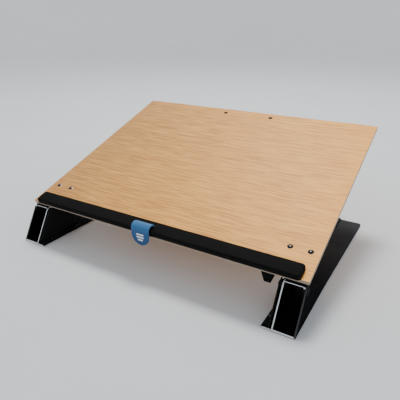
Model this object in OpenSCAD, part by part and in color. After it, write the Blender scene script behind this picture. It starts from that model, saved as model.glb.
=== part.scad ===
// Tilting laptop stand: an oak-faced deck on two folded sheet-steel legs, with a rear strut.
// Millimetres. +Z is up, -Y is the front, and the origin is on the table under the middle of the stand.

/* [Deck] */
// Width of the deck, left to right
deck_w = 350; // [300:1:400]
// Depth of the deck along its slope
deck_d = 267.5; // [240:0.5:290]
// Thickness of the plywood deck
deck_t = 4; // [3:0.5:6]
// Slope of the deck above the table, in degrees
deck_angle = 18.6; // [15:0.1:22]
// Height of the deck's top face at its front edge
deck_front_z = 46.4; // [44:0.2:52]

/* [Front stop] */
// Length of the rubber bar along the front edge
bar_w = 335; // [280:1:340]
// Depth of the bar, front to back
bar_d = 17; // [12:0.5:22]
// Height of the bar above the deck
bar_h = 5.5; // [4:0.5:8]
// Radius of the bar's corners
bar_r = 3.5; // [2:0.5:6]
// How far the bar stands out in front of the deck
bar_front = 2; // [0:0.5:3]

/* [Pull tab] */
// Width of the webbing tab
tab_w = 23; // [18:1:30]
// Thickness of the webbing
tab_t = 1.4; // [1:0.1:2.4]
// Sideways place of the tab's middle
tab_x = -5.5; // [-20:0.5:20]
// Length of the part that hangs in front of the deck
tab_drop = 17.8; // [12:0.1:24]

/* [Legs] */
// Thickness of the folded steel sheet
sheet_t = 1.5; // [1.2:0.1:1.8]
// Distance from the centre plane to the middle of each outer wall
outer_x = 173.5; // [172:0.1:173.6]
// Distance from the centre plane to the middle of each inner wall
inner_x = 152.3; // [151:0.1:153]
// Distance from the centre plane to the inner edge of the base strip
base_in_x = 142; // [138:0.5:144]
// How far the base strip flares out at its rear
base_flare = 2.75; // [0:0.25:3]
// Front edge of the base strip, measured from the deck's front edge
toe_y = -22.5; // [-24:0.5:-20]
// Heel of the inner side walls
heel_y = 43; // [38:1:50]
// Heel of the outer side walls
outer_heel_y = 60; // [43:1:66]
// Rear end of the base strip
base_rear_y = 238; // [225:1:245]
// Thickness of the rubber feet
pad_t = 0.8; // [0.6:0.1:1.5]

/* [Pivots and fastenings] */
// Radius of the round ears about the pivot line
ear_r = 3.8; // [3.4:0.1:4]
// Radius of the pivot rivets
pivot_r = 1.6; // [1.2:0.1:1.8]
// Radius of the rivets' domed heads
head_r = 3; // [2.6:0.1:3.4]
// Distance of the front rivets behind the deck's front edge
front_rivet_s = 34.5; // [30:0.5:38]
// Distance of the rear rivets behind the deck's front edge
rear_rivet_s = 257; // [254:0.5:258]

/* [Strut] */
// Width of the strut at its hinge
strut_top_w = 84; // [70:1:90]
// Width of the strut at its foot
strut_foot_w = 130; // [100:1:150]
// Place of the strut's hinge along the deck
strut_hinge_s = 237; // [232:1:240]
// Place of the strut's foot on the crossbar
strut_foot_y = 214; // [212:1:216]

/* [Hidden] */
$fn = 64;
shim_t = 1;
run_gap = 0.05;
side_gap = 0.4;
plate_t = 1.2;
touch = 0.01;

cd = cos(deck_angle);
sd = sin(deck_angle);
deck_rear_y = deck_d * cd + deck_t * sd;
y_mid = (deck_rear_y + toe_y) / 2;

// Depths below the deck's top face
leaf_top = deck_t + shim_t;
leaf_bottom = leaf_top + sheet_t;
pivot_n = leaf_bottom + 0.2 + ear_r;

// The open front of each leg lies in a plane that leans forward from just under the deck
base_top = pad_t + sheet_t;
mouth_top = [-0.49, 40.2];
mouth_bottom = [toe_y + 0.4, base_top];
mouth_dir = (mouth_bottom - mouth_top) / norm(mouth_bottom - mouth_top);
mouth_out = [mouth_dir[1], -mouth_dir[0]];

// Deck coordinates (distance behind the front edge, depth below the top face) to the side view
function side(s, n) = [s * cd + n * sd, deck_front_z + s * sd - n * cd];
function dot2(a, b) = a[0] * b[0] + a[1] * b[1];

// The pivot lies one ear radius behind the mouth plane and below the bracket's leaf
pivot_s = (-ear_r - dot2(side(0, pivot_n) - mouth_top, mouth_out)) / dot2([cd, sd], mouth_out);
pivot = side(pivot_s, pivot_n);
leaf_front = -2.4;
leaf_depth = 46;
ear_back = 9;
tongue_s = 17;
tongue_x = 130;

// Sheet positions across each leg, from the centre plane outwards
outer_in = outer_x - sheet_t / 2;
outer_out = outer_x + sheet_t / 2;
inner_in = inner_x - sheet_t / 2;
inner_out = inner_x + sheet_t / 2;
ear_in_x = inner_in - side_gap - plate_t;
gusset_x = ear_in_x - side_gap - plate_t;
leaf_out = outer_in - side_gap;

// Rear crossbar and strut
bar_front_y = 204;
crossbar_x = 150.5;
crossbar_t = 1.5;
crossbar_rivets = [[147, 228], [147, 211]];
gusset_rivets = [[145.2, -6], [145.2, 32]];
knuckle_r = 2.6;
hinge_pin_r = 1.2;
hinge_n = 7;
hinge = side(strut_hinge_s, hinge_n);
knuckles = 5;
knuckle_gap = 0.4;
strut_t = 2;
shoe_h = 9;
shoe_t = 5;
foot_z = base_top + crossbar_t;
strut_len = norm([hinge[0] - strut_foot_y, hinge[1] - foot_z]);
strut_lean = atan2(hinge[0] - strut_foot_y, hinge[1] - foot_z);

// ---- Placing ----

// Side-view places on the table's frame
module on_base() {
    translate([0, -y_mid, 0]) children();
}

// x across, y along the slope from the front edge, z up from the deck's top face
module on_deck() {
    translate([0, -y_mid, deck_front_z]) rotate([deck_angle, 0, 0]) children();
}

// Draws the right-hand shape, or its mirror image on the left
module hand(left) {
    mirror([left ? 1 : 0, 0, 0]) children();
}

module both_sides() {
    for (left = [false, true]) hand(left) children();
}

// A side-view outline made into a sheet from x to x + t
module side_sheet(x, t) {
    translate([x, 0, 0]) rotate([90, 0, 90]) linear_extrude(t) children();
}

module x_cylinder(x0, x1, r, at) {
    translate([x0, at[0], at[1]]) rotate([0, 90, 0]) cylinder(h = x1 - x0, r = r);
}

// ---- Fastenings ----

// A rivet along Z: domed head above z = 0, shank and set end below
module rivet(r, head, grip) {
    dome_h = head * 0.32;
    dome_r = (head * head + dome_h * dome_h) / (2 * dome_h);
    translate([0, 0, -touch]) cylinder(h = 2 * touch, r = r);
    intersection() {
        translate([0, 0, dome_h - dome_r]) sphere(r = dome_r);
        cylinder(h = dome_h + 1, r = head + 1);
    }
    translate([0, 0, -grip]) cylinder(h = grip, r = r);
    translate([0, 0, -grip - 0.9]) cylinder(h = 0.9, r = r * 1.5);
}

module front_rivet_places() {
    for (x = [-165, -145, 145, 165]) translate([x, front_rivet_s, 0]) children();
}

module rear_rivet_places() {
    for (x = [-35, 35]) translate([x, rear_rivet_s, 0]) children();
}

// ---- Deck ----

module deck_panel() {
    color("burlywood") on_deck() difference() {
        translate([-deck_w / 2, 0, -deck_t]) cube([deck_w, deck_d, deck_t]);
        front_rivet_places() translate([0, 0, -deck_t - 1]) cylinder(h = deck_t + 2, r = pivot_r);
        rear_rivet_places() translate([0, 0, -deck_t - 1]) cylinder(h = deck_t + 2, r = pivot_r);
    }
}

module rounded_rect(w, d, r) {
    square([w - 2 * r, d], center = true);
    square([w, d - 2 * r], center = true);
    for (x = [-1, 1], y = [-1, 1]) {
        translate([x * (w / 2 - r), y * (d / 2 - r)]) circle(r = r);
    }
}

module front_stop_bar() {
    color("#202020") on_deck() translate([0, bar_d / 2 - bar_front, 0]) linear_extrude(bar_h) {
        rounded_rect(bar_w, bar_d, bar_r);
    }
}

// Side outline of the tab: a loop that rises from the bar's top, arches forward and hangs in front
tab_bend = 4.9;
tab_turn = 74;
tab_mid = [2.3, 4.2];
tab_rise = bar_h - tab_mid[1];
function tab_arc(r, a) = tab_mid + r * [-sin(a), cos(a)];
function tab_down(p) = p + tab_drop * [-cos(tab_turn), -sin(tab_turn)];
function tab_sweep(r) = [for (i = [0:24]) tab_arc(r, -acos(tab_rise / r) * (1 - i / 24) + tab_turn * i / 24)];

module tab_profile() {
    outer = tab_sweep(tab_bend + tab_t);
    inner = tab_sweep(tab_bend);
    inner_back = [for (i = [24:-1:0]) inner[i]];
    polygon(concat(outer, [tab_down(outer[24]), tab_down(inner[24])], inner_back));
}

module pull_tab() {
    end_r = tab_w / 2;
    tip = tab_down(tab_arc(tab_bend + tab_t, tab_turn));
    bottom = side(tip[0], -tip[1])[1];
    color("steelblue") intersection() {
        on_deck() translate([tab_x - tab_w / 2, 0, 0]) rotate([90, 0, 90]) {
            linear_extrude(tab_w) tab_profile();
        }
        on_base() translate([tab_x, 30, 0]) rotate([90, 0, 0]) linear_extrude(60) {
            translate([0, bottom + end_r]) circle(r = end_r);
            translate([-end_r, bottom + end_r]) square([tab_w, 60]);
        }
    }
}

// ---- Brackets under the deck ----

module bracket_shims() {
    color("#1a1a1a") on_deck() both_sides() difference() {
        translate([leaf_out - 20, -0.6, -leaf_top]) cube([20, leaf_depth - 3, shim_t]);
        translate([165, front_rivet_s, -leaf_top - 1]) cylinder(h = shim_t + 2, r = pivot_r);
    }
}

// The ear that hangs from the leaf around the pivot, drawn as distance against height
module ear_outline(front, from) {
    difference() {
        union() {
            polygon([[front, -from], [ear_back, -from],
                     [pivot_s + 3.6 * cos(50), -pivot_n - 3.6 * sin(50)],
                     [pivot_s - 3.6 * cos(25), -pivot_n + 3.6 * sin(25)]]);
            translate([pivot_s, -pivot_n]) circle(r = ear_r);
        }
        translate([pivot_s, -pivot_n]) circle(r = pivot_r + run_gap);
    }
}

// The leaf's plan, with a step that keeps it clear of the gusset
module leaf_plan() {
    polygon([[leaf_out, leaf_front], [leaf_out, leaf_depth], [tongue_x - 8, leaf_depth],
             [tongue_x - 8, tongue_s], [ear_in_x, tongue_s], [ear_in_x, 4], [inner_out + 0.4, 4],
             [inner_out + 0.4, leaf_front]]);
}

// The tapered tongue bent down from the leaf's front step
module tongue() {
    top_z = side(tongue_s, leaf_bottom)[1];
    color("#161616") translate([tongue_x, side(tongue_s, leaf_bottom)[0] + 0.4, 0]) {
        translate([0, sheet_t, 0]) rotate([90, 0, 0]) linear_extrude(sheet_t) {
            polygon([[-7, top_z + 0.7], [7, top_z + 0.7], [7, 30], [3.4, 20.3], [-3.4, 20.3], [-7, 30]]);
        }
    }
}

module bracket() {
    difference() {
        union() {
            on_deck() {
                translate([0, 0, -leaf_bottom]) linear_extrude(sheet_t) leaf_plan();
                side_sheet(ear_in_x, plate_t) ear_outline(4.3, leaf_top);
                side_sheet(leaf_out - sheet_t, sheet_t) ear_outline(leaf_front, leaf_top);
            }
            on_base() tongue();
        }
        on_deck() front_rivet_places() translate([0, 0, -leaf_bottom - 1]) {
            cylinder(h = sheet_t + 1.5, r = pivot_r);
        }
    }
}

module left_bracket() {
    color("#161616") hand(true) bracket();
}

module right_bracket() {
    color("#161616") hand(false) bracket();
}

module front_rivets() {
    color("#0e0e0e") on_deck() front_rivet_places() rivet(pivot_r, head_r, leaf_bottom + 0.8);
}

module rivet_washers() {
    color("silver") on_deck() front_rivet_places() {
        translate([0, 0, -leaf_bottom - 0.8]) difference() {
            cylinder(h = 0.8, r = 4);
            translate([0, 0, -1]) cylinder(h = 3, r = pivot_r);
        }
    }
}

// ---- Rear hinge and strut ----

// Knuckle number i of the hinge; even ones belong to the leaf, odd ones to the strut
function knuckle_len() = strut_top_w / knuckles;
function knuckle_x(i) = -strut_top_w / 2 + i * knuckle_len() + knuckle_gap / 2;

module knuckle_row(first, r) {
    for (i = [first:2:knuckles - 1]) {
        x_cylinder(knuckle_x(i), knuckle_x(i) + knuckle_len() - knuckle_gap, r, [0, 0]);
    }
}

module rear_hinge_leaf() {
    color("#161616") on_deck() difference() {
        union() {
            translate([-45, strut_hinge_s + 4, -deck_t - sheet_t]) {
                cube([90, rear_rivet_s - strut_hinge_s + 0.5, sheet_t]);
            }
            for (i = [0:2:knuckles - 1]) {
                translate([knuckle_x(i), strut_hinge_s, -deck_t - 0.4 - sheet_t]) {
                    cube([knuckle_len() - knuckle_gap, 6, sheet_t]);
                }
            }
            translate([0, strut_hinge_s, -hinge_n]) knuckle_row(0, knuckle_r);
        }
        translate([-50, strut_hinge_s, -hinge_n]) rotate([0, 90, 0]) {
            cylinder(h = 100, r = hinge_pin_r);
        }
        rear_rivet_places() translate([0, 0, -9]) cylinder(h = 8, r = pivot_r);
    }
}

module rear_rivets() {
    color("#0e0e0e") on_deck() rear_rivet_places() rivet(pivot_r, head_r, deck_t + sheet_t);
}

module strut_hinge_pin() {
    color("silver") on_base() {
        x_cylinder(-strut_top_w / 2 - 1, strut_top_w / 2 + 1, hinge_pin_r, hinge);
    }
}

// Strut coordinates: origin on the hinge line, -Z towards the foot
module on_strut() {
    on_base() translate([0, hinge[0], hinge[1]]) rotate([-strut_lean, 0, 0]) children();
}

module strut_plate() {
    half = strut_top_w / 2;
    foot = strut_foot_w / 2;
    low = -strut_len + 1.5;
    shoulder = -8;
    color("#161616") on_strut() difference() {
        union() {
            translate([0, strut_t / 2, 0]) rotate([90, 0, 0]) linear_extrude(strut_t) {
                polygon([[-half, shoulder], [half, shoulder], [foot, low + 12], [foot, low],
                         [-foot, low], [-foot, low + 12]]);
            }
            for (i = [1:2:knuckles - 1]) {
                translate([knuckle_x(i), -strut_t / 2, shoulder - 1]) {
                    cube([knuckle_len() - knuckle_gap, strut_t, -shoulder + 1]);
                }
            }
            knuckle_row(1, knuckle_r);
        }
        translate([-50, 0, 0]) rotate([0, 90, 0]) cylinder(h = 100, r = hinge_pin_r + run_gap);
    }
}

// A rubber channel pushed over the strut's lower edge, cut flat where it stands on the crossbar
module strut_shoe() {
    color("#1c1c1c") difference() {
        on_strut() translate([-strut_foot_w / 2 + 1, -shoe_t / 2, -strut_len - 2]) {
            cube([strut_foot_w - 2, shoe_t, shoe_h + 2]);
        }
        on_strut() translate([-strut_foot_w, -strut_t / 2, -strut_len + 1.5]) {
            cube([2 * strut_foot_w, strut_t, 30]);
        }
        on_base() translate([-200, strut_foot_y - 40, foot_z - 50]) cube([400, 80, 50]);
    }
}

// ---- Legs ----

// Side wall: narrow round ear at the pivot, leaning front edge, long foot
module wall_outline(foot_z, heel) {
    difference() {
        union() {
            polygon([mouth_bottom + [0, foot_z - base_top], [heel, foot_z],
                     side(ear_back, leaf_bottom + 0.3), side(pivot_s, pivot_n - ear_r), pivot,
                     pivot + ear_r * mouth_out]);
            translate(pivot) circle(r = ear_r);
        }
        translate(pivot) circle(r = pivot_r);
    }
}

module base_plan() {
    flare_x = outer_out + base_flare;
    corner = 4;
    difference() {
        union() {
            polygon([[base_in_x, toe_y], [outer_out, toe_y], [outer_out, outer_heel_y],
                     [flare_x, base_rear_y - corner], [flare_x - corner, base_rear_y],
                     [base_in_x, base_rear_y]]);
            translate([flare_x - corner, base_rear_y - corner]) circle(r = corner);
        }
        for (p = concat(crossbar_rivets, gusset_rivets)) translate(p) circle(r = pivot_r);
    }
}

module leg() {
    on_base() {
        translate([0, 0, pad_t]) linear_extrude(sheet_t) base_plan();
        side_sheet(outer_in, sheet_t) wall_outline(base_top - touch, outer_heel_y);
        side_sheet(inner_in, sheet_t) wall_outline(base_top - touch, heel_y);
    }
}

module left_leg() {
    color("#1b1b1c") hand(true) leg();
}

module right_leg() {
    color("#1b1b1c") hand(false) leg();
}

// Angle plate that backs the inner wall and holds the bracket's ear against it
module gusset() {
    on_base() {
        side_sheet(gusset_x, plate_t) wall_outline(base_top, heel_y);
        translate([0, 0, base_top]) linear_extrude(plate_t) difference() {
            translate([base_in_x + 0.5, toe_y + 3]) {
                square([gusset_x + plate_t - base_in_x - 0.5, heel_y - toe_y - 5]);
            }
            for (p = gusset_rivets) translate(p) circle(r = pivot_r);
        }
    }
}

module left_gusset() {
    color("#161616") hand(true) gusset();
}

module right_gusset() {
    color("#161616") hand(false) gusset();
}

// Small flush-bottomed rivet for the parts that lie on the base strip
module base_rivet(grip) {
    translate([0, 0, -grip]) cylinder(h = grip, r = pivot_r);
    cylinder(h = 0.7, r1 = 2.3, r2 = 1.5);
}

module gusset_rivets() {
    color("#0e0e0e") on_base() both_sides() for (p = gusset_rivets) {
        translate([p[0], p[1], base_top + plate_t]) base_rivet(plate_t + sheet_t);
    }
}

// Shoulder rivets on the pivot line: one through the outer wall, one through the clevis
module pivot_rivet_pair() {
    on_base() {
        x_cylinder(leaf_out - sheet_t - 0.4, outer_out, pivot_r, pivot);
        x_cylinder(outer_out, outer_out + 0.7, 3.2, pivot);
        x_cylinder(leaf_out - sheet_t - 1.1, leaf_out - sheet_t - 0.3, 2.6, pivot);
        x_cylinder(gusset_x, inner_out, pivot_r, pivot);
        x_cylinder(inner_out, inner_out + 0.7, 2.6, pivot);
        x_cylinder(gusset_x - 0.7, gusset_x, 2.6, pivot);
    }
}

module left_pivot_rivets() {
    color("#0e0e0e") hand(true) pivot_rivet_pair();
}

module right_pivot_rivets() {
    color("#0e0e0e") hand(false) pivot_rivet_pair();
}

// ---- Rear crossbar and feet ----

module rear_crossbar() {
    color("#1b1b1c") on_base() translate([0, 0, base_top]) linear_extrude(crossbar_t) difference() {
        translate([-crossbar_x, bar_front_y]) square([2 * crossbar_x, base_rear_y - bar_front_y]);
        for (p = crossbar_rivets, k = [-1, 1]) translate([k * p[0], p[1]]) circle(r = pivot_r);
    }
}

module crossbar_rivets() {
    color("#0e0e0e") on_base() both_sides() for (p = crossbar_rivets) {
        translate([p[0], p[1], base_top + crossbar_t]) base_rivet(crossbar_t + sheet_t);
    }
}

module foot_pads() {
    color("#101010") on_base() both_sides() for (y = [toe_y + 14, 108, base_rear_y - 16]) {
        translate([159, y, 0]) linear_extrude(pad_t) rounded_rect(22, 16, 4);
    }
}

deck_panel();
front_stop_bar();
pull_tab();
bracket_shims();
left_bracket();
right_bracket();
front_rivets();
rivet_washers();
rear_hinge_leaf();
rear_rivets();
strut_hinge_pin();
strut_plate();
strut_shoe();
left_leg();
right_leg();
left_gusset();
right_gusset();
gusset_rivets();
left_pivot_rivets();
right_pivot_rivets();
rear_crossbar();
crossbar_rivets();
foot_pads();
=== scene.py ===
# Laptop stand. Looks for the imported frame. Metres, in the frame of the part.
import math
import bpy
import bmesh
from mathutils import Matrix, Vector


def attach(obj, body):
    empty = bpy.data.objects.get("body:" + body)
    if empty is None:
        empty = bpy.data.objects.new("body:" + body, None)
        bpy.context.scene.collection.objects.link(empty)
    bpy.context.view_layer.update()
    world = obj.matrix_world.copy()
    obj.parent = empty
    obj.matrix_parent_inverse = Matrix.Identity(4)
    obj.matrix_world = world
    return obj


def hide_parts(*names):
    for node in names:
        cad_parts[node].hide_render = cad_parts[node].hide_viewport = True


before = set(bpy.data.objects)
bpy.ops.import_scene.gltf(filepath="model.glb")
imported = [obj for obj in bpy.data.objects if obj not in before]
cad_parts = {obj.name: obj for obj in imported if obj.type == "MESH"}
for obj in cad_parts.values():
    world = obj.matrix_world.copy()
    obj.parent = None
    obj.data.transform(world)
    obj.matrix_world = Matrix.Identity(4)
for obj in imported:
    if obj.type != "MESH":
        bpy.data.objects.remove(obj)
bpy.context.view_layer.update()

MM = 0.001

# The part's own sizes, in millimetres, as part.scad has them
ANGLE = math.radians(18.6)
CD, SD = math.cos(ANGLE), math.sin(ANGLE)
DECK_DEPTH, DECK_T, DECK_Z = 267.5, 4.0, 46.4
TOE = 22.5  # how far the base strips reach in front of the deck's front edge
LEAF_TOP, LEAF_BOTTOM = 5.0, 6.5  # the bracket's sheet, below the deck's top
BAR_H = 5.5
OPEN_FRONT = (0.0, -0.8687, 0.4953)  # the way the legs' open front faces
Y_MID = ((DECK_DEPTH * CD + DECK_T * SD) - TOE) / 2


def deck_point(x, s, up):
    """Millimetres along the deck, and above its top face, to metres in the row frame."""
    y = s * CD - up * SD - Y_MID
    z = DECK_Z + s * SD + up * CD
    return Vector((x, y, z)) * MM


def linear(r, g, b):
    """Display colour out of 255 to linear."""
    def one(v):
        v = v / 255
        return v / 12.92 if v <= 0.04045 else ((v + 0.055) / 1.055) ** 2.4
    return (one(r), one(g), one(b), 1)


# ---- Materials ----

class Shader:
    """A small helper for building node materials."""

    def __init__(self, name, rough=0.5, metal=0.0, spec=0.5):
        self.mat = bpy.data.materials.new(name)
        self.mat.use_nodes = True
        self.tree = self.mat.node_tree
        self.bsdf = self.tree.nodes["Principled BSDF"]
        self.bsdf.inputs["Roughness"].default_value = rough
        self.bsdf.inputs["Metallic"].default_value = metal
        self.bsdf.inputs["Specular IOR Level"].default_value = spec

    def node(self, kind, **props):
        n = self.tree.nodes.new(kind)
        for k, v in props.items():
            setattr(n, k, v)
        return n

    def link(self, a, b):
        self.tree.links.new(a, b)

    def coords(self, scale=(1, 1, 1)):
        tc = self.node("ShaderNodeTexCoord")
        m = self.node("ShaderNodeMapping", vector_type="POINT")
        m.inputs["Scale"].default_value = scale
        self.link(tc.outputs["Object"], m.inputs["Vector"])
        return m.outputs["Vector"]

    def noise(self, vec, scale, detail=3, rough=0.5):
        n = self.node("ShaderNodeTexNoise")
        n.inputs["Scale"].default_value = scale
        n.inputs["Detail"].default_value = detail
        n.inputs["Roughness"].default_value = rough
        self.link(vec, n.inputs["Vector"])
        return n.outputs["Fac"]

    def ramp(self, fac, stops):
        n = self.node("ShaderNodeValToRGB")
        el = n.color_ramp.elements
        while len(el) < len(stops):
            el.new(0.5)
        for e, (pos, col) in zip(el, stops):
            e.position = pos
            e.color = col
        self.link(fac, n.inputs["Fac"])
        return n.outputs["Color"]

    def math(self, op, *values, clamp=False):
        n = self.node("ShaderNodeMath", operation=op, use_clamp=clamp)
        for i, v in enumerate(values):
            if isinstance(v, (int, float)):
                n.inputs[i].default_value = v
            else:
                self.link(v, n.inputs[i])
        return n.outputs["Value"]

    def mix(self, fac, a, b, blend="MIX"):
        n = self.node("ShaderNodeMix", data_type="RGBA", blend_type=blend)
        for sock, v in ((n.inputs[0], fac), (n.inputs[6], a), (n.inputs[7], b)):
            if isinstance(v, (int, float, tuple)):
                sock.default_value = v
            else:
                self.link(v, sock)
        return n.outputs[2]

    def bump(self, height, strength, dist):
        n = self.node("ShaderNodeBump")
        n.inputs["Strength"].default_value = strength
        n.inputs["Distance"].default_value = dist
        self.link(height, n.inputs["Height"])
        self.link(n.outputs["Normal"], self.bsdf.inputs["Normal"])

    def color(self, sock):
        self.link(sock, self.bsdf.inputs["Base Color"])

    def rough(self, sock):
        self.link(sock, self.bsdf.inputs["Roughness"])

    def split(self, vec):
        n = self.node("ShaderNodeSeparateXYZ")
        self.link(vec, n.inputs[0])
        return n.outputs


def warm(r, g, b):
    """Display colour to linear, pushed to yellow because the view transform greys it."""
    c = linear(r, g, b)
    return (c[0] * 1.08, c[1] * 0.83, c[2] * 0.40, 1)


def oak():
    """Oak veneer with the grain across the deck; light and dark plies show on the edges."""
    s = Shader("oak_ply", spec=0.3)
    tc = s.node("ShaderNodeTexCoord")
    turn = s.node("ShaderNodeMapping", vector_type="POINT")
    turn.inputs["Rotation"].default_value = (-ANGLE, 0, 0)
    s.link(tc.outputs["Object"], turn.inputs["Vector"])
    along = turn.outputs["Vector"]

    def stretched(sx, sy, sz):
        m = s.node("ShaderNodeMapping", vector_type="POINT")
        m.inputs["Scale"].default_value = (sx, sy, sz)
        s.link(along, m.inputs["Vector"])
        return m.outputs["Vector"]

    # Growth rings with a slow waviness, then fine fibres
    warp = s.noise(stretched(3.0, 9.0, 9.0), 1.0, 3)
    xyz = s.split(stretched(0.7, 1.0, 1.0))
    y = s.math("ADD", xyz["Y"], s.math("MULTIPLY", warp, 0.035))
    comb = s.node("ShaderNodeCombineXYZ")
    s.link(xyz["X"], comb.inputs["X"])
    s.link(s.math("MULTIPLY", y, 62.0), comb.inputs["Y"])
    s.link(xyz["Z"], comb.inputs["Z"])
    rings = s.node("ShaderNodeTexNoise")
    rings.inputs["Scale"].default_value = 3.2
    rings.inputs["Detail"].default_value = 4
    s.link(comb.outputs["Vector"], rings.inputs["Vector"])
    bands = s.ramp(rings.outputs["Fac"], [
        (0.30, warm(196, 156, 118)), (0.46, warm(212, 174, 136)),
        (0.56, warm(220, 184, 147)), (0.72, warm(206, 167, 128))])
    fibre = s.noise(stretched(24.0, 680.0, 680.0), 1.0, 4, 0.7)
    fibre_c = s.ramp(fibre, [(0.40, warm(152, 112, 78)), (0.60, warm(246, 214, 174))])
    col = s.mix(0.5, bands, fibre_c)
    # Darker streaks, and a painted highlight: browner on the left and paler on the right,
    # standing in for the key light's sheen on the deck's right
    streaks = s.noise(stretched(11.0, 400.0, 400.0), 1.0, 4, 0.7)
    streak_f = s.math("MULTIPLY", s.math("SUBTRACT", streaks, 0.52, clamp=True), 3.2, clamp=True)
    col = s.mix(s.math("MULTIPLY", streak_f, 0.4, clamp=True), col, warm(172, 128, 88))
    side = s.math("MULTIPLY_ADD", xyz["X"], 4.2, 0.5, clamp=True)
    sheen_tone = s.mix(side, (0.88, 0.845, 0.80, 1), (1.52, 1.35, 0.84, 1))
    col = s.mix(1.0, col, sheen_tone, "MULTIPLY")
    pores = s.noise(stretched(26.0, 1500.0, 1500.0), 1.0, 2)
    pore_f = s.math("MULTIPLY", s.math("SUBTRACT", pores, 0.60, clamp=True), 4.5, clamp=True)
    col = s.mix(s.math("MULTIPLY", pore_f, 0.55, clamp=True), col, warm(150, 110, 78))

    # Edges: pale plies with darker ones between, by the share of the deck's thickness from its top
    top = deck_point(0, 0, 0)
    depth = s.math("SUBTRACT", s.split(along)["Z"], top.z * CD - top.y * SD)
    down = s.math("MULTIPLY", depth, -1 / (DECK_T * MM), clamp=True)
    ply = s.ramp(down, [
        (0.0, linear(206, 184, 156)), (0.14, linear(206, 184, 156)), (0.17, linear(160, 140, 120)),
        (0.42, linear(166, 146, 126)), (0.45, linear(208, 192, 172)), (0.62, linear(208, 192, 172)),
        (0.65, linear(158, 138, 120)), (0.84, linear(162, 142, 124)),
        (0.88, linear(214, 200, 182))])
    streak = s.noise(stretched(12.0, 400.0, 700.0), 1.0, 3)
    ply = s.mix(s.math("MULTIPLY", streak, 0.3), ply, linear(140, 118, 98))
    ply = s.mix(0.2, ply, linear(60, 46, 38))
    nrm = s.node("ShaderNodeVectorRotate", rotation_type="X_AXIS")
    nrm.inputs["Angle"].default_value = -ANGLE
    s.link(tc.outputs["Normal"], nrm.inputs["Vector"])
    flat = s.math("GREATER_THAN", s.math("ABSOLUTE", s.split(nrm.outputs["Vector"])["Z"]), 0.7)
    s.color(s.mix(flat, ply, col))
    s.rough(s.math("ADD", s.math("MULTIPLY", pores, 0.2), 0.42))
    s.bump(s.math("ADD", fibre, s.math("MULTIPLY", pore_f, -1.0)), 0.22, 0.0002)
    return s.mat


def black_metal(name, base, rough, spec, grain=900, bare_edges=None):
    """Black powder coat with fine orange peel.

    bare_edges is "leg" or "bracket", and says which cut edges show bare steel. With "leg" it also
    paints a reflection on the base strips' rear top and shade on the rest of the leg.
    """
    s = Shader(name, rough=rough, spec=spec)
    v = s.coords()
    cloud = s.noise(v, 26, 4)
    col = s.ramp(cloud, [(0.3, tuple(c * 0.8 for c in base[:3]) + (1,)), (0.75, base)])
    peel = s.noise(v, grain, 2)
    s.rough(s.math("ADD", s.math("MULTIPLY", cloud, 0.14), rough - 0.07))
    if bare_edges == "leg":
        # Painted reflection and painted shade: the base strips' top stays grey towards the rear,
        # where the key light's reflection falls, and fades to near black towards the front, under the
        # deck; the walls and all other faces are painted near black as shade
        normal = s.node("ShaderNodeTexCoord").outputs["Normal"]
        up = s.math("GREATER_THAN", s.split(normal)["Z"], 0.7)
        rear_sheen = s.math("MULTIPLY_ADD", s.split(v)["Y"], 8.0, 0.7, clamp=True)
        col = s.mix(s.math("MULTIPLY", up, rear_sheen), s.mix(0.93, col, (0.0, 0.0, 0.0, 1)), col)
    if bare_edges:
        # Bare where a cut edge faces out of the leg's open front; the coating runs over the rest of
        # the sheet's thickness and over the outer wall's edge
        tc = s.node("ShaderNodeTexCoord")

        def along(out, way):
            n = s.node("ShaderNodeVectorMath", operation="DOT_PRODUCT")
            s.link(out, n.inputs[0])
            n.inputs[1].default_value = way
            return n.outputs["Value"]

        facing = s.math("GREATER_THAN", along(tc.outputs["Normal"], OPEN_FRONT), 0.62)
        if bare_edges == "leg":
            place = s.split(tc.outputs["Object"])
            wide = s.math("ABSOLUTE", place["X"])
            near = s.math("LESS_THAN", place["Y"], (3.5 - Y_MID) * MM)
            low = s.math("LESS_THAN", place["Z"], 1.7 * MM)  # the base strip
            wall = s.math("GREATER_THAN", wide, 151.95 * MM)  # most of the inner wall's thickness
            inside = s.math("MULTIPLY", s.math("MAXIMUM", wall, low),
                            s.math("LESS_THAN", wide, 172.7 * MM))  # short of the outer wall
            level = s.math("ADD", s.math("MULTIPLY", inside, 0.88), 0.07)
        else:
            depth = along(tc.outputs["Object"], (0.0, SD, -CD))
            top_face = -Y_MID * SD - DECK_Z * CD
            near = s.math("MULTIPLY",
                          s.math("GREATER_THAN", depth, (LEAF_TOP + 0.4 + top_face) * MM),
                          s.math("LESS_THAN", depth, (LEAF_BOTTOM + 0.05 + top_face) * MM))
            level = 0.88
        bare = s.math("MULTIPLY", facing, near)
        brushed = s.noise(s.coords((300, 3000, 3000)), 1, 2)
        bare_c = s.ramp(brushed, [(0.3, linear(222, 224, 226)), (0.7, linear(252, 253, 254))])
        s.color(s.mix(s.math("MULTIPLY", bare, level), col, bare_c))
        s.link(s.math("MULTIPLY", bare, 0.15), s.bsdf.inputs["Metallic"])
    else:
        s.color(col)
    s.bump(peel, 0.12, 0.0001)
    return s.mat


def rubber(name, base):
    s = Shader(name, spec=0.1)
    v = s.coords()
    fine = s.noise(v, 1400, 3, 0.6)
    cloud = s.noise(v, 40, 3)
    lo = tuple(c * 0.72 for c in base[:3]) + (1,)
    s.color(s.mix(s.math("MULTIPLY", fine, 0.5), s.ramp(cloud, [(0.3, lo), (0.7, base)]), lo))
    s.rough(s.math("ADD", s.math("MULTIPLY", fine, 0.2), 0.65))
    s.bump(fine, 0.35, 0.00015)
    return s.mat


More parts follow.
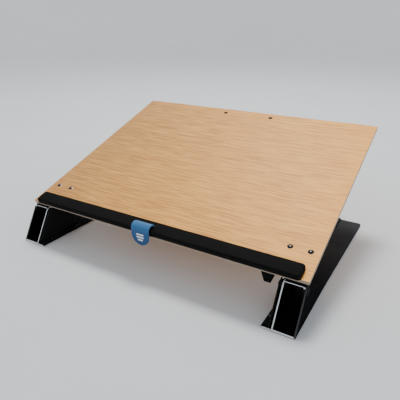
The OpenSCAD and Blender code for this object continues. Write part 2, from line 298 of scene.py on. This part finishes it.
def steel(name):
    s = Shader(name, metal=1.0)
    v = s.coords((80, 2400, 2400))
    n = s.noise(v, 1, 3)
    s.color(s.ramp(n, [(0.3, (0.36, 0.36, 0.37, 1)), (0.7, (0.66, 0.66, 0.67, 1))]))
    s.rough(s.math("ADD", s.math("MULTIPLY", n, 0.2), 0.22))
    s.bump(n, 0.1, 0.00005)
    return s.mat


def webbing():
    """Blue woven tape with a fine crossing of slanting ribs."""
    s = Shader("blue_webbing", rough=0.8, spec=0.25)
    s.bsdf.inputs["Sheen Weight"].default_value = 0.25
    s.bsdf.inputs["Sheen Roughness"].default_value = 0.5
    uv = s.node("ShaderNodeUVMap", uv_map="tape")

    def ribs(slant):
        m = s.node("ShaderNodeMapping")
        m.inputs["Scale"].default_value = (1500, 1500, 1)
        m.inputs["Rotation"].default_value = (0, 0, math.radians(slant))
        s.link(uv.outputs["UV"], m.inputs["Vector"])
        return s.math("SINE", s.math("MULTIPLY", s.split(m.outputs["Vector"])["X"], 4.0))

    wa, wb = ribs(38), ribs(-38)
    weave = s.math("MULTIPLY_ADD", s.math("MULTIPLY", wa, wb), 0.5, 0.5)
    fuzz = s.noise(s.coords(), 1600, 3, 0.7)
    h = s.math("ADD", s.math("MULTIPLY", weave, 0.6), s.math("MULTIPLY", fuzz, 0.4))
    blue = s.ramp(h, [(0.25, linear(36, 92, 138)), (0.75, linear(62, 130, 184))])
    # Painted shade: the tape is darkened from the front of the bend down to its free end, where less
    # of the light from above falls
    down = s.math("MULTIPLY", s.split(uv.outputs["UV"])["Y"], 30.0, clamp=True)
    hanging_shade = s.ramp(down, [
        (0.32, (1, 1, 1, 1)), (0.5, (0.42, 0.52, 0.64, 1)), (1.0, (0.2, 0.31, 0.45, 1))])
    s.color(s.mix(1.0, blue, hanging_shade, "MULTIPLY"))
    s.bump(h, 0.5, 0.0003)
    return s.mat


def print_white():
    s = Shader("pale_print", rough=0.8, spec=0.2)
    n = s.noise(s.coords(), 2200, 3, 0.7)
    s.color(s.ramp(n, [(0.3, linear(190, 210, 226)), (0.6, linear(240, 246, 250))]))
    s.bump(n, 0.4, 0.0002)
    return s.mat


OAK = oak()
# The leg's base colour is set light for the painted reflection on the base strips' rear top;
# black_metal paints the rest of the leg near black as shade
LEG = black_metal("black_coated_sheet", linear(62, 64, 68), 0.85, 0.02, bare_edges="leg")
LEAF = black_metal("black_coated_bracket", linear(22, 23, 24), 0.75, 0.06, bare_edges="bracket")
SHEET = black_metal("black_steel", linear(24, 25, 26), 0.72, 0.08)
RIVET = black_metal("black_rivet", linear(4, 4, 4), 0.15, 0.8, grain=2500)
DULL_RIVET = black_metal("dull_rivet", linear(5, 5, 5), 0.6, 0.2, grain=2500)
RUBBER = rubber("black_rubber", linear(9, 9, 9))
BARE = steel("bare_steel")
WEB = webbing()
PRINT = print_white()

LOOKS = {
    "deck_panel": OAK, "left_leg": LEG, "right_leg": LEG,
    "left_bracket": LEAF, "right_bracket": LEAF,
    "bracket_shims": RUBBER, "foot_pads": RUBBER, "strut_shoe": RUBBER,
    "rivet_washers": BARE, "strut_hinge_pin": BARE,
    "front_rivets": RIVET, "rear_rivets": DULL_RIVET,
    "gusset_rivets": RIVET, "crossbar_rivets": RIVET,
    "left_pivot_rivets": SHEET, "right_pivot_rivets": SHEET,
}
for name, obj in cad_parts.items():
    look = LOOKS.get(name, SHEET)
    if not obj.material_slots:
        obj.data.materials.append(look)
    for sl in obj.material_slots:
        sl.material = look


# ---- Making pieces ----

def new_object(name, mesh, mat):
    obj = bpy.data.objects.new(name, mesh)
    bpy.context.scene.collection.objects.link(obj)
    mesh.materials.append(mat)
    return obj


def smooth(obj, angle):
    for p in obj.data.polygons:
        p.use_smooth = True
    mod = obj.modifiers.new("edges", "EDGE_SPLIT")
    mod.split_angle = math.radians(angle)


# ---- Front stop bar: a moulded rubber bar with softened edges ----

def stop_bar():
    w, d, r, front = 335.0, 17.0, 3.5, -2.0
    soft = 2.2
    turns = [math.radians(a) for a in range(0, 91, 10)]
    # How far in from the outline and how far up, from the foot to the rounded top edge
    round_top = [(0.0, 0.0)] + [(soft - soft * math.cos(a), BAR_H - soft + soft * math.sin(a))
                                for a in turns]
    steps = 10
    bm = bmesh.new()
    loops = []
    for inset, up in round_top:
        loop = []
        rr = r - min(inset, r - 0.5)
        for cx, cs, a0 in ((w / 2 - r, d - r, 0), (-w / 2 + r, d - r, 90),
                           (-w / 2 + r, r, 180), (w / 2 - r, r, 270)):
            for i in range(steps + 1):
                a = math.radians(a0 + 90 * i / steps)
                x, s = cx + rr * math.cos(a), front + cs + rr * math.sin(a)
                loop.append(bm.verts.new(deck_point(x, s, up)))
        loops.append(loop)
    for lo, hi in zip(loops, loops[1:]):
        n = len(lo)
        for i in range(n):
            bm.faces.new((lo[i], lo[(i + 1) % n], hi[(i + 1) % n], hi[i]))
    bm.faces.new(loops[-1])
    bm.faces.new(list(reversed(loops[0])))
    mesh = bpy.data.meshes.new("stop_bar")
    bm.to_mesh(mesh)
    bm.free()
    obj = new_object("stop_bar", mesh, RUBBER)
    smooth(obj, 50)
    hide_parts("front_stop_bar")
    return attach(obj, "deck")


# ---- Pull tab: webbing over the bar, hanging in front of the deck ----

TAB_W, TAB_T, TAB_X = 23.0, 1.4, -5.5
BEND = 4.9 + TAB_T / 2  # radius of the bend, at the middle of the tape
MID = (2.3, 4.2)  # the bend's centre: along the deck, and above its top
DROP = 17.8  # the straight length that hangs
TURN = math.radians(74)
START = -math.acos((BAR_H - MID[1]) / BEND)  # the tape leaves the bar's top here


def tab_centre(t):
    """Point (s, up) at mid-thickness and the outward direction, t mm along the tape from its rear."""
    arc = BEND * (TURN - START)
    a = START + min(t, arc) / BEND
    k = max(0.0, t - arc)
    out = (-math.sin(a), math.cos(a))
    return (MID[0] + BEND * out[0] - math.cos(a) * k, MID[1] + BEND * out[1] - math.sin(a) * k), out


def tab_length():
    return BEND * (TURN - START) + DROP


def pull_tab():
    total = tab_length()
    half = TAB_W / 2
    bm = bmesh.new()
    uv = bm.loops.layers.uv.new("tape")
    rows, cols = 56, 16
    grid = {}
    for side_i, off in ((0, TAB_T / 2), (1, -TAB_T / 2)):
        for i in range(rows + 1):
            t = total * i / rows
            rest = total - t
            # the free end is a half round
            wide = half if rest >= half else math.sqrt(max(half * half - (half - rest) ** 2, 0.04))
            (ps, pu), (ns, nu) = tab_centre(t)
            for j in range(cols + 1):
                x = -wide + 2 * wide * j / cols
                edge = 1 - abs(2 * j / cols - 1)
                thin = min(1.0, 0.55 + 4.0 * edge)
                k = off * thin
                v = bm.verts.new(deck_point(TAB_X + x, ps + ns * k, pu + nu * k))
                grid[side_i, i, j] = (v, (x * MM, t * MM))

    def face(keys):
        f = bm.faces.new([grid[k][0] for k in keys])
        for lp, k in zip(f.loops, keys):
            lp[uv].uv = grid[k][1]

    for i in range(rows):
        for j in range(cols):
            face([(0, i, j), (0, i + 1, j), (0, i + 1, j + 1), (0, i, j + 1)])
            face([(1, i, j), (1, i, j + 1), (1, i + 1, j + 1), (1, i + 1, j)])
        face([(0, i, 0), (1, i, 0), (1, i + 1, 0), (0, i + 1, 0)])
        face([(0, i, cols), (0, i + 1, cols), (1, i + 1, cols), (1, i, cols)])
    for j in range(cols):
        face([(0, 0, j), (0, 0, j + 1), (1, 0, j + 1), (1, 0, j)])
        face([(0, rows, j), (1, rows, j), (1, rows, j + 1), (0, rows, j + 1)])
    bmesh.ops.recalc_face_normals(bm, faces=bm.faces)
    mesh = bpy.data.meshes.new("webbing_tab")
    bm.to_mesh(mesh)
    bm.free()
    obj = new_object("webbing_tab", mesh, WEB)
    smooth(obj, 60)
    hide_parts("pull_tab")
    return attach(obj, "deck")


def tab_mark():
    """Three plain short bars printed on the tab's hanging face."""
    bm = bmesh.new()
    total = tab_length()
    for k, half in ((6.4, 3.2), (9.6, 4.6), (12.8, 4.6)):
        n = 14
        for i in range(n):
            quad = []
            for x, dt in ((i, -0.9), (i + 1, -0.9), (i + 1, 0.9), (i, 0.9)):
                t = total - k + dt
                (ps, pu), (ns, nu) = tab_centre(t)
                off = TAB_T / 2 + 0.04
                across = TAB_X - half + 2 * half * x / n
                quad.append(bm.verts.new(deck_point(across, ps + ns * off, pu + nu * off)))
            bm.faces.new(quad)
    bmesh.ops.remove_doubles(bm, verts=bm.verts, dist=1e-6)
    bmesh.ops.solidify(bm, geom=bm.faces[:], thickness=0.00006)
    bmesh.ops.recalc_face_normals(bm, faces=bm.faces)
    mesh = bpy.data.meshes.new("tab_mark")
    bm.to_mesh(mesh)
    bm.free()
    obj = new_object("tab_mark", mesh, PRINT)
    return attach(obj, "deck")


stop_bar()
TAB = pull_tab()
MARK = tab_mark()


# ---- Camera, floor and light ----

def camera():
    """Where the photo's was, by a perspective fit."""
    cam = bpy.data.cameras.new("camera")
    obj = bpy.data.objects.new("camera", cam)
    bpy.context.scene.collection.objects.link(obj)
    cam.sensor_fit = "HORIZONTAL"
    cam.sensor_width = 36.0
    cam.lens = 37.99
    cam.clip_start, cam.clip_end = 0.01, 50
    a, e, r = (math.radians(v) for v in (30.489, 23.139, 0.3))
    fwd = Vector((-math.sin(a) * math.cos(e), math.cos(a) * math.cos(e), -math.sin(e)))
    right = Vector((math.cos(a), math.sin(a), 0))
    up = right.cross(fwd)
    r2 = right * math.cos(r) + up * math.sin(r)
    u2 = -right * math.sin(r) + up * math.cos(r)
    rot = Matrix((r2, u2, -fwd)).transposed()
    at = Vector((249.13, -313.06 - Y_MID, 254.57)) * MM
    obj.matrix_world = Matrix.Translation(at) @ rot.to_4x4()
    bpy.context.scene.camera = obj


def floor():
    """A round floor that turns up into a wall, so no view shows an edge."""
    bm = bmesh.new()
    flat, bend, high, turns = 3.2, 1.6, 4.5, 96
    line = [(0.02, 0.0)] + [(flat * (i / 12) ** 0.8, 0.0) for i in range(1, 13)]
    line += [(flat + bend * math.sin(a), bend - bend * math.cos(a)) for a in
             (math.radians(90 * i / 16) for i in range(1, 17))]
    line += [(flat + bend, high)]
    rings = []
    for r, z in line:
        angles = [2 * math.pi * k / turns for k in range(turns)]
        rings.append([bm.verts.new((r * math.cos(a), r * math.sin(a), z)) for a in angles])
    for lo, hi in zip(rings, rings[1:]):
        for k in range(turns):
            bm.faces.new((lo[k], hi[k], hi[(k + 1) % turns], lo[(k + 1) % turns]))
    bm.faces.new(rings[0])
    bmesh.ops.recalc_face_normals(bm, faces=bm.faces)
    mesh = bpy.data.meshes.new("floor")
    bm.to_mesh(mesh)
    bm.free()
    for p in mesh.polygons:
        p.use_smooth = True
    s = Shader("pale_floor", rough=0.75, spec=0.2)
    nse = s.noise(s.coords(), 3, 2)
    s.color(s.ramp(nse, [(0.3, linear(222, 225, 228)), (0.7, linear(226, 229, 232))]))
    # Painted light: the floor glows from about a metre out, more with distance, up the wall
    far = s.node("ShaderNodeVectorMath", operation="LENGTH")
    s.link(s.coords(), far.inputs[0])
    backdrop_glow = s.ramp(s.math("MULTIPLY", far.outputs["Value"], 1 / 6.0), [
        (0.17, (0, 0, 0, 1)), (0.45, (0.13, 0.132, 0.135, 1)), (1.0, (0.3, 0.305, 0.31, 1))])
    s.link(backdrop_glow, s.bsdf.inputs["Emission Color"])
    s.bsdf.inputs["Emission Strength"].default_value = 1.0
    obj = new_object("floor", mesh, s.mat)


def area(name, at, to, size, power, color):
    light = bpy.data.lights.new(name, "AREA")
    light.shape = "RECTANGLE"
    light.size, light.size_y = size
    light.energy = power
    light.color = color
    obj = bpy.data.objects.new(name, light)
    bpy.context.scene.collection.objects.link(obj)
    at, to = Vector(at), Vector(to)
    obj.location = at
    obj.rotation_euler = (to - at).to_track_quat("-Z", "Y").to_euler()


def lights():
    key = Vector((-0.15, 0.385, 0.91)).normalized() * 2.0
    area("key", key + Vector((0, 0, 0.05)), (0, 0, 0.05), (0.5, 0.5), 34.0, (1.0, 0.97, 0.93))
    area("front_fill", (0.3, -2.0, 1.2), (0, 0, 0.05), (1.6, 1.0), 2.5, (0.95, 0.97, 1.0))
    world = bpy.data.worlds.new("studio")
    bpy.context.scene.world = world
    world.use_nodes = True
    bg = world.node_tree.nodes["Background"]
    bg.inputs["Color"].default_value = (0.95, 0.97, 1.0, 1)
    bg.inputs["Strength"].default_value = 0.55


camera()
floor()
lights()
